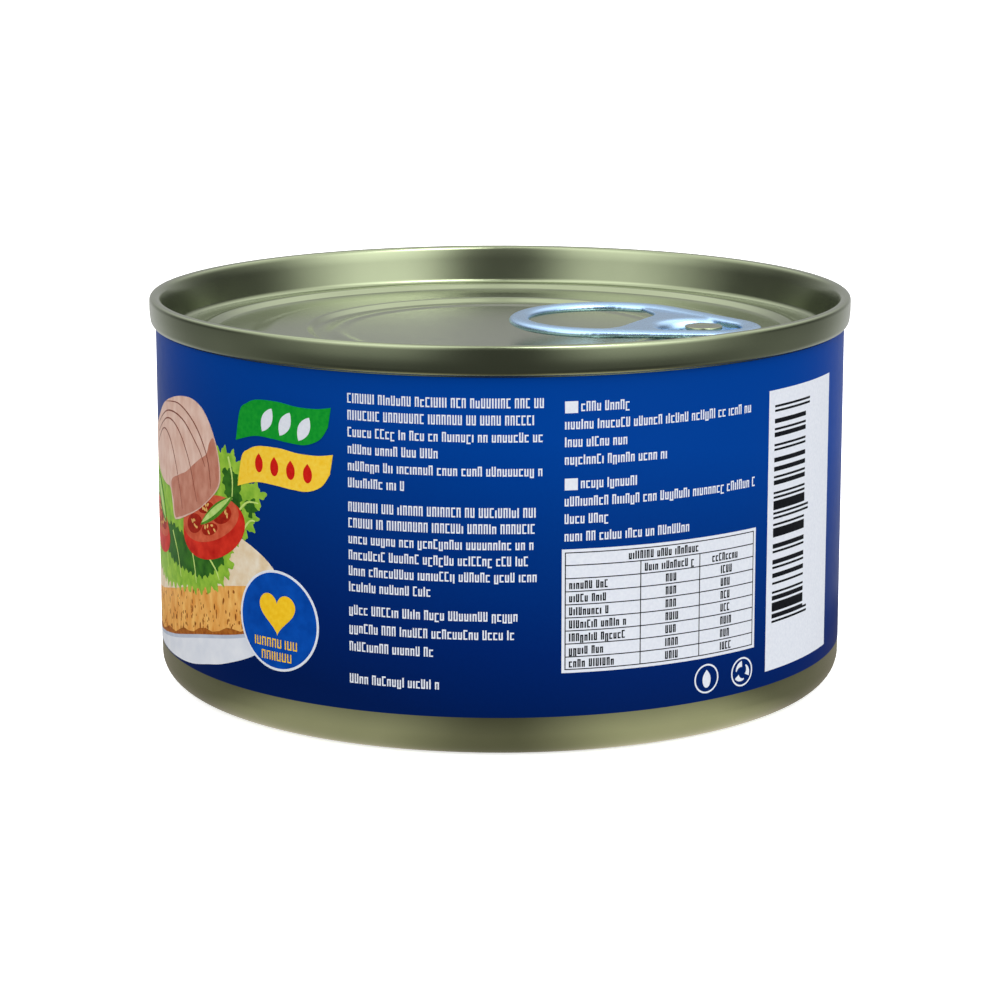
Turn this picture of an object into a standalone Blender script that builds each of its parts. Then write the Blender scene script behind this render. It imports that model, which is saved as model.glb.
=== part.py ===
# Short round food can with a ring-pull end, modelled for Blender 4.5.
# Units are metres, +Z is up, and the origin is the centre of the circle that the can stands on.
# The can is shut, so it is solid inside. It is five pieces: the drawn body, the printed label round
# it, the seamed lid, the pull tab, and the rivet that holds the tab.

import math

import bmesh
import bpy
from mathutils import Matrix, Vector

MM = 0.001

# Driving sizes of the can
SEAM_RADIUS = 43.5 * MM
WALL_RADIUS = 42.75 * MM
CAN_HEIGHT = 47.8 * MM
GAP = 0.3 * MM
TURN_STEPS = 64

# Body: a drawn cup with a round bottom corner and a bare band below the label
CORNER_RADIUS = 3.0 * MM
STANDING_RING_INNER = 37.6 * MM
BASE_PANEL_RISE = 1.3 * MM
BASE_BEAD_RISE = 0.5 * MM
BASE_BEAD_RADII = (29.0 * MM, 30.4 * MM, 33.2 * MM, 34.6 * MM)
LABEL_BOTTOM = 4.9 * MM
LABEL_THICKNESS = 0.35 * MM
CORE_RADIUS = WALL_RADIUS - LABEL_THICKNESS - GAP

# Lid: the rolled seam round a sunk panel
SEAM_HEIGHT = 3.7 * MM
SEAM_FOOT_ROUND = 1.0 * MM
SEAM_CREST_RADIUS = 42.75 * MM
SEAM_CREST_RISE = 1.15 * MM
CHUCK_TOP_RADIUS = 42.0 * MM
CHUCK_FOOT_RADIUS = 41.2 * MM
SEAM_UNDERSIDE = CAN_HEIGHT - SEAM_HEIGHT
LID_UNDERSIDE = 41.3 * MM

# Heights of the pressed lid panel
PANEL_Z = 43.3 * MM
TRACK_Z = 43.1 * MM
LEDGE_Z = 43.7 * MM
BEAD_Z = 44.0 * MM
SINK_Z = 43.2 * MM

# Radii of the pressed lid panel, from the centre outwards
PANEL_RADIUS = 19.2 * MM
BEAD_CREST_RADII = (20.1 * MM, 21.5 * MM)
TRACK_RADII = (23.4 * MM, 27.8 * MM)
LEDGE_RADII = (30.5 * MM, 33.8 * MM)
OUTER_BEAD_RADII = (34.7 * MM, 35.7 * MM)
SINK_RADII = (37.4 * MM, 39.9 * MM)

# Pull tab: a curled frame round a finger hole, and a web with a window for the rivet tongue
TAB_TURN = math.radians(-26.5)
TAB_HEEL = 2.6 * MM
TAB_LENGTH = 32.0 * MM
TAB_WIDTH = 24.0 * MM
NOSE_WIDTH = 13.0 * MM
TAB_Z = 45.0 * MM
CURL_WIDTH = 2.5 * MM
CURL_HEIGHT = 1.3 * MM
NOSE_CURL_HEIGHT = 0.9 * MM
CURL_SIDES = 8
WEB_EDGE = 18.7 * MM
WEB_THICKNESS = 0.6 * MM
WINDOW_CENTRE = 27.4 * MM
WINDOW_LENGTH = 7.4 * MM
WINDOW_WIDTH = 6.0 * MM
HEM_WIDTH = 2.4 * MM
HEM_HEIGHT = 1.2 * MM
TONGUE_TIP = 24.6 * MM
TONGUE_END = 32.4 * MM
TONGUE_WIDTH = 4.8 * MM
TONGUE_BOTTOM = 44.05 * MM
TONGUE_THICKNESS = 0.45 * MM

# Rivet
RIVET_CENTRE = 27.5 * MM
RIVET_STEM_RADIUS = 1.3 * MM
RIVET_HEAD_RADIUS = 2.3 * MM
RIVET_HEAD_HEIGHT = 0.45 * MM
RIVET_STEPS = 20


def clear_scene():
    """Remove the objects of the start-up scene."""
    for found in list(bpy.data.objects):
        bpy.data.objects.remove(found, do_unlink=True)


def to_linear(channel):
    """Turn one sRGB channel from 0 to 255 into the linear value that Blender mixes."""
    value = channel / 255
    if value <= 0.04045:
        return value / 12.92
    return ((value + 0.055) / 1.055) ** 2.4


def make_material(name, srgb, metallic, roughness):
    """Make a Principled BSDF material with one colour."""
    material = bpy.data.materials.new(name)
    material.use_nodes = True
    shader = material.node_tree.nodes["Principled BSDF"]
    shader.inputs["Base Color"].default_value = [to_linear(channel) for channel in srgb] + [1.0]
    shader.inputs["Metallic"].default_value = metallic
    shader.inputs["Roughness"].default_value = roughness
    return material


def add_object(name, form, material=None):
    """Turn a bmesh into a named, smooth-shaded object."""
    bmesh.ops.recalc_face_normals(form, faces=form.faces)
    mesh = bpy.data.meshes.new(name)
    form.to_mesh(mesh)
    form.free()
    mesh.shade_smooth()
    mesh.set_sharp_from_angle(angle=math.radians(35))
    if material:
        mesh.materials.append(material)
    made = bpy.data.objects.new(name, mesh)
    bpy.context.collection.objects.link(made)
    return made


def hide_helper(helper):
    """Mark an object as a shape that only serves a Boolean."""
    helper.hide_render = True
    helper.display_type = "WIRE"


def add_boolean(target, helper, operation):
    """Join a helper to the target, or cut it away."""
    step = target.modifiers.new(helper.name, "BOOLEAN")
    step.operation = operation
    step.solver = "EXACT"
    step.object = helper
    hide_helper(helper)


def arc(centre_r, centre_z, radius_r, radius_z, start_deg, end_deg, steps):
    """Points along an elliptical arc in the (radius, height) plane."""
    points = []
    for step in range(steps + 1):
        angle = math.radians(start_deg + (end_deg - start_deg) * step / steps)
        points.append((centre_r + radius_r * math.cos(angle), centre_z + radius_z * math.sin(angle)))
    return points


def turned(name, profile, material, closed=False, steps=TURN_STEPS, centre=(0.0, 0.0)):
    """Spin a (radius, height) profile about a vertical axis into a solid."""
    form = bmesh.new()
    points = [form.verts.new((radius, 0.0, height)) for radius, height in profile]
    edges = [form.edges.new(pair) for pair in zip(points, points[1:])]
    if closed:
        edges.append(form.edges.new((points[-1], points[0])))
    bmesh.ops.spin(form, geom=points + edges, cent=(0, 0, 0), axis=(0, 0, 1), angle=math.tau,
                   steps=steps, use_merge=True)
    bmesh.ops.remove_doubles(form, verts=form.verts, dist=1e-6)
    bmesh.ops.translate(form, verts=form.verts, vec=(centre[0], centre[1], 0.0))
    return add_object(name, form, material)


def body_profile():
    """Outline of the drawn body, from the centre of its base up to the centre of its top."""
    corner_r = WALL_RADIUS - CORNER_RADIUS
    bead_z = BASE_PANEL_RISE - BASE_BEAD_RISE
    profile = [(0.0, BASE_PANEL_RISE)]
    for radius, height in zip(BASE_BEAD_RADII, (BASE_PANEL_RISE, bead_z, bead_z, BASE_PANEL_RISE)):
        profile.append((radius, height))
    profile.append((STANDING_RING_INNER - BASE_PANEL_RISE, BASE_PANEL_RISE))
    profile.append((STANDING_RING_INNER, 0.0))
    profile += arc(corner_r, CORNER_RADIUS, CORNER_RADIUS, CORNER_RADIUS, -90, 0, 5)
    profile.append((WALL_RADIUS, LABEL_BOTTOM - GAP))
    profile.append((CORE_RADIUS, LABEL_BOTTOM - GAP))
    profile.append((CORE_RADIUS, LID_UNDERSIDE - GAP))
    profile.append((0.0, LID_UNDERSIDE - GAP))
    return profile


def seam_profile():
    """Outline of the rolled seam, from its underside over its crest to the top of the chuck wall."""
    foot_r = SEAM_RADIUS - SEAM_FOOT_ROUND
    foot_z = SEAM_UNDERSIDE + SEAM_FOOT_ROUND
    crest_z = CAN_HEIGHT - SEAM_CREST_RISE
    outer_r = SEAM_RADIUS - SEAM_CREST_RADIUS
    inner_r = SEAM_CREST_RADIUS - CHUCK_TOP_RADIUS
    profile = arc(foot_r, foot_z, SEAM_FOOT_ROUND, SEAM_FOOT_ROUND, -90, 0, 3)
    profile += arc(SEAM_CREST_RADIUS, crest_z, outer_r, SEAM_CREST_RISE, 0, 90, 3)
    profile += arc(SEAM_CREST_RADIUS, crest_z, inner_r, SEAM_CREST_RISE, 90, 180, 3)[1:]
    return profile


def lid_profile():
    """Outline of the lid, from the centre of its underside out, over the seam and back in."""
    profile = [(0.0, LID_UNDERSIDE), (CORE_RADIUS, LID_UNDERSIDE), (CORE_RADIUS, SEAM_UNDERSIDE)]
    profile += seam_profile()
    profile.append((CHUCK_FOOT_RADIUS, BEAD_Z + GAP))
    profile.append((CHUCK_FOOT_RADIUS - 2 * GAP, SINK_Z + GAP))
    profile += [(SINK_RADII[1], SINK_Z), (SINK_RADII[0], SINK_Z)]
    profile += [(OUTER_BEAD_RADII[1], BEAD_Z), (OUTER_BEAD_RADII[0], BEAD_Z)]
    profile += [(LEDGE_RADII[1], LEDGE_Z), (LEDGE_RADII[0], LEDGE_Z)]
    profile += [(TRACK_RADII[1], TRACK_Z), (TRACK_RADII[0], TRACK_Z)]
    profile += [(BEAD_CREST_RADII[1], BEAD_Z), (BEAD_CREST_RADII[0], BEAD_Z)]
    profile += [(PANEL_RADIUS, PANEL_Z), (0.0, PANEL_Z)]
    return profile


def label_profile():
    """Outline of the label sleeve, a thin band with its foot above the bottom corner."""
    inner = WALL_RADIUS - LABEL_THICKNESS
    top = SEAM_UNDERSIDE - GAP
    return [(inner, LABEL_BOTTOM), (WALL_RADIUS, LABEL_BOTTOM), (WALL_RADIUS, top), (inner, top)]


def tab_outline(inset):
    """The tab's egg outline seen from above, moved inwards by inset, along the tab's own axis."""
    heel = TAB_WIDTH / 2
    nose = NOSE_WIDTH / 2
    heel_centre = TAB_HEEL + heel
    nose_centre = TAB_HEEL + TAB_LENGTH - nose
    # The straight flanks touch both round ends, so the arcs stop where the flanks leave them
    flank = math.degrees(math.asin((heel - nose) / (nose_centre - heel_centre)))
    points = arc(heel_centre, 0.0, heel - inset, heel - inset, 90 - flank, 270 + flank, 26)
    points += arc(nose_centre, 0.0, nose - inset, nose - inset, flank - 90, 90 - flank, 12)
    return points


def window_outline(inset):
    """The rivet window's oval seen from above, moved inwards by inset."""
    half_length = WINDOW_LENGTH / 2 - inset
    half_width = WINDOW_WIDTH / 2 - inset
    return arc(WINDOW_CENTRE, 0.0, half_length, half_width, 0, 360, 24)[:-1]


def curled_loop(name, path, width, height_at, centre_z):
    """Sweep an oval section round a closed path to make a curled metal edge."""
    form = bmesh.new()
    rings = []
    count = len(path)
    for index, (along, across) in enumerate(path):
        before = Vector(path[index - 1])
        after = Vector(path[(index + 1) % count])
        direction = (after - before).normalized()
        outwards = Vector((direction.y, -direction.x))
        height = height_at(along)
        ring = []
        for side in range(CURL_SIDES):
            angle = math.tau * side / CURL_SIDES
            offset = outwards * (width / 2 * math.cos(angle))
            rise = height / 2 * math.sin(angle)
            ring.append(form.verts.new((along + offset.x, across + offset.y, centre_z + rise)))
        rings.append(ring)
    for index, ring in enumerate(rings):
        following = rings[(index + 1) % count]
        for side in range(CURL_SIDES):
            next_side = (side + 1) % CURL_SIDES
            form.faces.new((ring[side], ring[next_side], following[next_side], following[side]))
    return add_object(name, form)


def flat_plate(name, outline, bottom, thickness):
    """Raise a flat outline into a plate."""
    form = bmesh.new()
    face = form.faces.new([form.verts.new((along, across, bottom)) for along, across in outline])
    raised = bmesh.ops.extrude_face_region(form, geom=[face])
    lifted = [item for item in raised["geom"] if isinstance(item, bmesh.types.BMVert)]
    bmesh.ops.translate(form, verts=lifted, vec=(0.0, 0.0, thickness))
    return add_object(name, form)


def frame_height(along):
    """The frame's curl flattens from the finger hole towards the nose."""
    start = WEB_EDGE
    end = TAB_HEEL + TAB_LENGTH
    share = min(max((along - start) / (end - start), 0.0), 1.0)
    return CURL_HEIGHT + (NOSE_CURL_HEIGHT - CURL_HEIGHT) * share


def hem_height(along):
    """The window's hem keeps one height all round."""
    return HEM_HEIGHT


def web_outline():
    """Flat web between the finger hole and the nose, reaching into the curled frame."""
    points = [point for point in tab_outline(CURL_WIDTH / 2) if point[0] > WEB_EDGE]
    flank_half = (TAB_WIDTH - NOSE_WIDTH) / 2
    taper = flank_half / (TAB_LENGTH - TAB_WIDTH / 2 - NOSE_WIDTH / 2)
    heel_centre = TAB_HEEL + TAB_WIDTH / 2
    half = TAB_WIDTH / 2 - CURL_WIDTH / 2 - taper * (WEB_EDGE - heel_centre)
    return [(WEB_EDGE, -half)] + points + [(WEB_EDGE, half)]


def tongue_outline():
    """Narrow tongue under the window, with a round free end towards the finger hole."""
    half = TONGUE_WIDTH / 2
    return arc(TONGUE_TIP + half, 0.0, half, half, 90, 270, 8) + [(TONGUE_END, -half), (TONGUE_END, half)]


def make_tab(material):
    """Join the tab's frame, web, hem and tongue, cut its window and rivet hole, and turn it."""
    curl_inset = CURL_WIDTH / 2
    tab = curled_loop("pull_tab", tab_outline(curl_inset), CURL_WIDTH, frame_height, TAB_Z)
    tab.data.materials.append(material)

    web = flat_plate("tab_web", web_outline(), TAB_Z - WEB_THICKNESS / 2, WEB_THICKNESS)
    hem = curled_loop("tab_hem", window_outline(-HEM_WIDTH / 2), HEM_WIDTH, hem_height, TAB_Z)
    window = flat_plate("tab_window", window_outline(-HEM_WIDTH / 4), TAB_Z - CURL_HEIGHT,
                        2 * CURL_HEIGHT)
    tongue = flat_plate("tab_tongue", tongue_outline(), TONGUE_BOTTOM, TONGUE_THICKNESS)
    hole_radius = RIVET_STEM_RADIUS + GAP
    hole_outline = arc(RIVET_CENTRE, 0.0, hole_radius, hole_radius, 0, 360, RIVET_STEPS)[:-1]
    hole = flat_plate("tab_rivet_hole", hole_outline, TONGUE_BOTTOM - CURL_HEIGHT, 2 * CURL_HEIGHT)

    add_boolean(web, window, "DIFFERENCE")
    add_boolean(tongue, hole, "DIFFERENCE")
    add_boolean(tab, web, "UNION")
    add_boolean(tab, hem, "UNION")
    add_boolean(tab, tongue, "UNION")

    turn = bpy.data.objects.new("tab_axis", None)
    bpy.context.collection.objects.link(turn)
    turn.rotation_euler.z = TAB_TURN
    for piece in (tab, web, hem, window, tongue, hole):
        piece.parent = turn
    return tab


def rivet_profile():
    """Outline of the rivet: a stem through the tongue and a flat round head over it."""
    foot = TRACK_Z + GAP
    head = TONGUE_BOTTOM + TONGUE_THICKNESS + GAP
    top = head + RIVET_HEAD_HEIGHT
    return [
        (0.0, foot),
        (RIVET_STEM_RADIUS, foot),
        (RIVET_STEM_RADIUS, head),
        (RIVET_HEAD_RADIUS, head),
        (RIVET_HEAD_RADIUS, top - RIVET_HEAD_HEIGHT / 2),
        (RIVET_HEAD_RADIUS - RIVET_HEAD_HEIGHT / 2, top),
        (0.0, top),
    ]


def main():
    clear_scene()
    lacquer = make_material("olive_lacquer", (132, 140, 104), 1.0, 0.32)
    tab_metal = make_material("tab_aluminium", (178, 194, 212), 1.0, 0.28)
    blue_print = make_material("blue_print", (4, 58, 146), 0.0, 0.35)

    turned("can_body", body_profile(), lacquer)
    turned("label", label_profile(), blue_print, closed=True)
    turned("lid", lid_profile(), lacquer)
    make_tab(tab_metal)
    rivet_centre = Matrix.Rotation(TAB_TURN, 4, "Z") @ Vector((RIVET_CENTRE, 0.0, 0.0))
    turned("rivet", rivet_profile(), lacquer, steps=RIVET_STEPS, centre=rivet_centre.xy)


main()
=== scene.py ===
# %% [markdown]
# A shut food can with a ring-pull lid, dressed for its picture.
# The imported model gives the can's size and the place of each part. This lesson keeps both, and makes
# the surface that the eye reads: rolled metal with a coloured lacquer, a curled pull ring, and a
# varnished label with its print. Lengths are written in millimetres, because that is how a can maker
# writes them, and one factor, MM, turns them to Blender's metres.

import math
import random

import bmesh
import bpy
from mathutils import Matrix, Vector


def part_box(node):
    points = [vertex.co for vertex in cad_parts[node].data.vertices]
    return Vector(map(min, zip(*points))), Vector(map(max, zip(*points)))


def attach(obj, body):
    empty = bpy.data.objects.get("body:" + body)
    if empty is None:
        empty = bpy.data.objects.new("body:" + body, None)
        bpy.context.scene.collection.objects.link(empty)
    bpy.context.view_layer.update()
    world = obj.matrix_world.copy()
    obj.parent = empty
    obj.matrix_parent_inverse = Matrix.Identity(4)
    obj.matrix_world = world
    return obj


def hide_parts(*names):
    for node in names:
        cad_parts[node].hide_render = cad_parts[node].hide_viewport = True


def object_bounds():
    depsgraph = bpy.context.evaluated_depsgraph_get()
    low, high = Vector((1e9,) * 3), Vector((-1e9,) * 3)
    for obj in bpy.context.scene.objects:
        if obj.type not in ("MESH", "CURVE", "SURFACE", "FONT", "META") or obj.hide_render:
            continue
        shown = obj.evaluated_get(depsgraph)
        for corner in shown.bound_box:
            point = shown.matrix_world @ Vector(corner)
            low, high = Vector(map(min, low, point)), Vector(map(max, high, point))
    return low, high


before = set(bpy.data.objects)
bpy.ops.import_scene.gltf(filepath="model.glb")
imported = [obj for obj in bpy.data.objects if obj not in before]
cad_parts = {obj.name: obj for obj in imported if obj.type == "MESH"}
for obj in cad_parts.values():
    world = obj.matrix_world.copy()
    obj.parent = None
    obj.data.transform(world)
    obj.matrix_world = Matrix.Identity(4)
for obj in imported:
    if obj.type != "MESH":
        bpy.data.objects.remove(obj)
cad_low, cad_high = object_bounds()
MM = 0.001
BODY = "root"
print("frame nodes:", sorted(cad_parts))

# %% [markdown]
# The can's own sizes are read from the frame, so that every piece below follows the model: the height
# and the seam's radius from the whole box, the wall's radius and the label's edges from the label.

# %% Read the can's sizes
label_low, label_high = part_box("label")
lid_low, lid_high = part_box("lid")
HEIGHT = cad_high.z / MM
SEAM_R = lid_high.x / MM
WALL_R = label_high.x / MM
LABEL_FOOT = label_low.z / MM
LABEL_TOP = HEIGHT - 3.65
TURN_STEPS = 448
STRIP = math.tau * WALL_R / TURN_STEPS
print(f"height {HEIGHT:.1f}, seam radius {SEAM_R:.2f}, wall radius {WALL_R:.2f} mm, strip {STRIP:.3f} mm")

# %% [markdown]
# The camera stands where the photographer's did: in front of the can and a little above it, looking
# slightly down through a long lens, so that the rim is a thin ellipse. The lens is worked out from the
# angle that the picture takes in, and the small shift puts the can in the middle of the square.

# %% Place the camera
CAMERA_BACK = 378.9
CAMERA_HEIGHT = 102.8
CAMERA_PITCH = math.radians(11.06)
FOCAL_IN_FRAMES = 3.0678
SENSOR = 36.0
FRAMING_SHIFT = -0.06

camera_data = bpy.data.cameras.new("photo_camera")
camera_data.sensor_width = SENSOR
camera_data.lens = FOCAL_IN_FRAMES * SENSOR
camera_data.shift_y = FRAMING_SHIFT
camera_data.clip_start = 10 * MM
camera = bpy.data.objects.new("photo_camera", camera_data)
camera.location = (0.0, -CAMERA_BACK * MM, CAMERA_HEIGHT * MM)
camera.rotation_euler = (math.pi / 2 - CAMERA_PITCH, 0.0, 0.0)
bpy.context.collection.objects.link(camera)
bpy.context.scene.camera = camera
print(f"lens {camera_data.lens:.1f} mm")

# %% [markdown]
# Colours are easiest to match as the hex values that a paint program shows. Blender mixes light with
# linear values, so one function turns the first into the second.

# %% Turn hex colours to linear ones
def colour(hex_value):
    """sRGB hex such as "#A0B0C0" to a linear RGBA colour."""
    channels = []
    for place in (1, 3, 5):
        value = int(hex_value[place:place + 2], 16) / 255
        channels.append(value / 12.92 if value <= 0.04045 else ((value + 0.055) / 1.055) ** 2.4)
    return (*channels, 1.0)


print("mid grey is", [round(v, 3) for v in colour("#808080")[:3]])

# %% [markdown]
# Every finish is a small graph of nodes. One helper adds a node, sets its settings, fills its sockets
# with values or links, and gives back the output that the next node needs, so that a material reads
# like a recipe. A maths node's inputs share one name, so they can also be filled in order.

# %% Add a node with its settings and links
def add_node(tree, kind, settings=None, take=None, fill=(), **sockets):
    """Add a node and return its output named take, or its first one. Underscores stand for spaces."""
    node = tree.nodes.new(kind)
    for name, value in (settings or {}).items():
        setattr(node, name, value)
    live = [socket for socket in node.inputs if socket.enabled]
    pairs = list(zip(live, fill))
    for name, value in sockets.items():
        wanted = name.replace("_", " ")
        pairs.append((next(s for s in live if s.name == wanted), value))
    for socket, value in pairs:
        if isinstance(value, bpy.types.NodeSocket):
            tree.links.new(value, socket)
        else:
            socket.default_value = value
    if take:
        return node.outputs[take]
    return next((socket for socket in node.outputs if socket.enabled), node)


def new_tree(block):
    """Give a material or a world an empty tree of nodes."""
    block.use_nodes = True
    block.node_tree.nodes.clear()
    return block.node_tree


print("helper ready")

# %% [markdown]
# The can and its lid are tinplate: steel rolled thin, tinned, and roller-coated with a gold-green
# lacquer before it is pressed. The eye sees a satin metal with a tint, a soft double sheen from the
# clear lacquer over it, and a very fine tooth. The tint belongs to the metal's colour, the second
# sheen is a coat, and the tooth is a bump of 0.25 mm grains, coarser than the real one so that it shows.

# %% Lacquered tinplate
LACQUER_TOOTH = 0.25
LACQUER_MOTTLE = 6.0


def lacquered_tinplate():
    material = bpy.data.materials.new("lacquered_tinplate")
    tree = new_tree(material)
    place = add_node(tree, "ShaderNodeTexCoord", take="Object")
    mottle = add_node(tree, "ShaderNodeTexNoise", Vector=place, Scale=1 / (LACQUER_MOTTLE * MM),
                      Detail=3.0)
    tooth = add_node(tree, "ShaderNodeTexNoise", Vector=place, Scale=1 / (LACQUER_TOOTH * MM),
                     Detail=2.0)
    tint = add_node(tree, "ShaderNodeMix", {"data_type": "RGBA"}, Factor=mottle, A=colour("#939D7D"),
                    B=colour("#9FA888"))
    sheen = add_node(tree, "ShaderNodeMapRange", Value=mottle, To_Min=0.19, To_Max=0.24)
    grain = add_node(tree, "ShaderNodeBump", Strength=0.05, Distance=0.02 * MM, Height=tooth)
    shader = add_node(tree, "ShaderNodeBsdfPrincipled", Base_Color=tint, Metallic=1.0,
                      Roughness=sheen, Normal=grain, Coat_Weight=0.35, Coat_Roughness=0.14)
    add_node(tree, "ShaderNodeOutputMaterial", Surface=shader)
    return material


TINPLATE = lacquered_tinplate()
print("made", TINPLATE.name)

# %% [markdown]
# The pull ring is bare aluminium sheet, stamped and curled. It is brighter and bluer than the lid, and
# rolling leaves fine lines along the strip that it was cut from. The lines are noise stretched along
# the ring's length, 0.12 mm apart.

# %% Bright rolled aluminium
TAB_TURN = math.radians(-26.5)
ROLLING_LINE = 0.12
ROLLING_RUN = 5.0


def rolled_aluminium():
    material = bpy.data.materials.new("rolled_aluminium")
    tree = new_tree(material)
    place = add_node(tree, "ShaderNodeTexCoord", take="Object")
    along = add_node(tree, "ShaderNodeMapping", {"vector_type": "TEXTURE"}, Vector=place,
                     Rotation=(0.0, 0.0, TAB_TURN),
                     Scale=(ROLLING_RUN * MM, ROLLING_LINE * MM, ROLLING_LINE * MM))
    lines = add_node(tree, "ShaderNodeTexNoise", Vector=along, Scale=1.0, Detail=2.0)
    tint = add_node(tree, "ShaderNodeMix", {"data_type": "RGBA"}, Factor=lines, A=colour("#AFD2F8"),
                    B=colour("#BFE0FF"))
    sheen = add_node(tree, "ShaderNodeMapRange", Value=lines, To_Min=0.24, To_Max=0.31)
    grain = add_node(tree, "ShaderNodeBump", Strength=0.02, Distance=0.02 * MM, Height=lines)
    shader = add_node(tree, "ShaderNodeBsdfPrincipled", Base_Color=tint, Metallic=1.0,
                      Roughness=sheen, Normal=grain)
    add_node(tree, "ShaderNodeOutputMaterial", Surface=shader)
    return material


ALUMINIUM = rolled_aluminium()
print("made", ALUMINIUM.name)

# %% [markdown]
# A turned piece is a profile spun about the can's axis. Pressed sheet has no sharp corners, so the
# profile's points carry a bend radius, and each corner becomes a short arc. Writing the sheet's true
# corners and letting a function bend them is how a die maker draws it.

# %% Bend the corners of a profile
BEND_STEPS = 6
LONGEST_BEND = 0.48


def bent(corners):
    """Turn (radius, height, bend) corners in mm into a profile with rounded corners."""
    points = []
    for index, (r, z, bend) in enumerate(corners):
        here = Vector((r, z))
        if bend <= 0 or index in (0, len(corners) - 1):
            points.append(here)
            continue
        back = Vector(corners[index - 1][:2]) - here
        ahead = Vector(corners[index + 1][:2]) - here
        reach = min(bend, back.length * LONGEST_BEND, ahead.length * LONGEST_BEND)
        start = here + back.normalized() * reach
        end = here + ahead.normalized() * reach
        for step in range(BEND_STEPS + 1):
            t = step / BEND_STEPS
            points.append(start * (1 - t) ** 2 + here * 2 * t * (1 - t) + end * t ** 2)
    return points


print("one corner bends into", len(bent([(0, 0, 0), (1, 0, 0.5), (1, 1, 0)])) - 2, "points")

# %% [markdown]
# Every piece ends the same way: it is scaled to metres, given its finish, and the parts of the model
# that it stands for are hidden. A turned piece starts as a profile, and the spin carries it round the
# can's axis.

# %% Spin and finish a piece
def finish_piece(name, form, material, slot, *stood_for, crease=30):
    """Make a bmesh in mm into a piece that rides on the can, with its finish. The slot is not used."""
    bmesh.ops.scale(form, verts=form.verts, vec=(MM, MM, MM))
    bmesh.ops.recalc_face_normals(form, faces=form.faces)
    mesh = bpy.data.meshes.new(name)
    form.to_mesh(mesh)
    form.free()
    mesh.shade_smooth()
    mesh.set_sharp_from_angle(angle=math.radians(crease))
    mesh.materials.append(material)
    piece = bpy.data.objects.new(name, mesh)
    bpy.context.collection.objects.link(piece)
    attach(piece, BODY)
    if stood_for:
        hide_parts(*stood_for)
    print(f"{name}: {len(mesh.polygons)} faces")
    return piece


def spun(profile, centre=(0.0, 0.0), closed=False, steps=TURN_STEPS):
    """Spin a profile in mm into a closed bmesh."""
    form = bmesh.new()
    points = [form.verts.new((r, 0.0, z)) for r, z in profile]
    edges = [form.edges.new(pair) for pair in zip(points, points[1:])]
    if closed:
        edges.append(form.edges.new((points[-1], points[0])))
    bmesh.ops.spin(form, geom=points + edges, cent=(0, 0, 0), axis=(0, 0, 1), angle=math.tau,
                   steps=steps, use_merge=True)
    bmesh.ops.remove_doubles(form, verts=form.verts, dist=1e-4)
    bmesh.ops.translate(form, verts=form.verts, vec=(centre[0], centre[1], 0.0))
    return form


print("spinning helpers ready")

# %% [markdown]
# The body is drawn from one disc of tinplate: a wall, a round bottom corner, and a standing ring round
# a recessed base. A spun profile gives it in one go. Behind the label the wall is set back by the
# label's thickness, so that the print's lower edge is a fine step and not a painted line. The piece
# closes inside the lid, just above its underside, as the shut can is solid.

# %% Spin the drawn body
CORNER_R = 3.0
CORNER_STEPS = 16
RING_INNER = 37.6
BASE_RISE = 1.3
LABEL_THICK = 0.10
BODY_R = WALL_R - 0.04
INNER_TOP = lid_low.z / MM + 0.3


def drawn_body():
    bead = BASE_RISE - 0.5
    corners = [(0.0, BASE_RISE, 0), (29.0, BASE_RISE, 1.0), (30.4, bead, 0.8), (33.2, bead, 0.8),
               (34.6, BASE_RISE, 0.8), (RING_INNER - 1.0, BASE_RISE, 0.8), (RING_INNER, 0.0, 0.6)]
    profile = bent(corners + [(BODY_R - CORNER_R, 0.0, 0)])
    for step in range(1, CORNER_STEPS + 1):
        angle = math.pi / 2 * step / CORNER_STEPS
        profile.append((BODY_R - CORNER_R + CORNER_R * math.sin(angle),
                        CORNER_R - CORNER_R * math.cos(angle)))
    lip = LABEL_FOOT - 0.02
    seat = WALL_R - LABEL_THICK - 0.05
    profile += [(BODY_R, lip), (seat, lip), (seat, LABEL_TOP), (WALL_R - 0.5, LABEL_TOP),
                (WALL_R - 0.5, INNER_TOP), (0.0, INNER_TOP)]
    return finish_piece("drawn_body", spun(profile), TINPLATE, "lacquered_steel", "can_body")


drawn_body()

# %% [markdown]
# The lid is a second pressing. From the centre out it has a flat panel with a low bead round it, a
# narrow track, a raised ledge, a slope down to a wide flat, a raised ring, a sunk channel, the steep
# chuck wall, and the double seam that grips the body. Each bend catches the studio lights as a bright
# or dark line, so the order and the width of the bends matter more than their height, which is under a
# millimetre.

# %% Spin the lid and its seam
SEAM_FOOT = HEIGHT - 3.5


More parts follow.
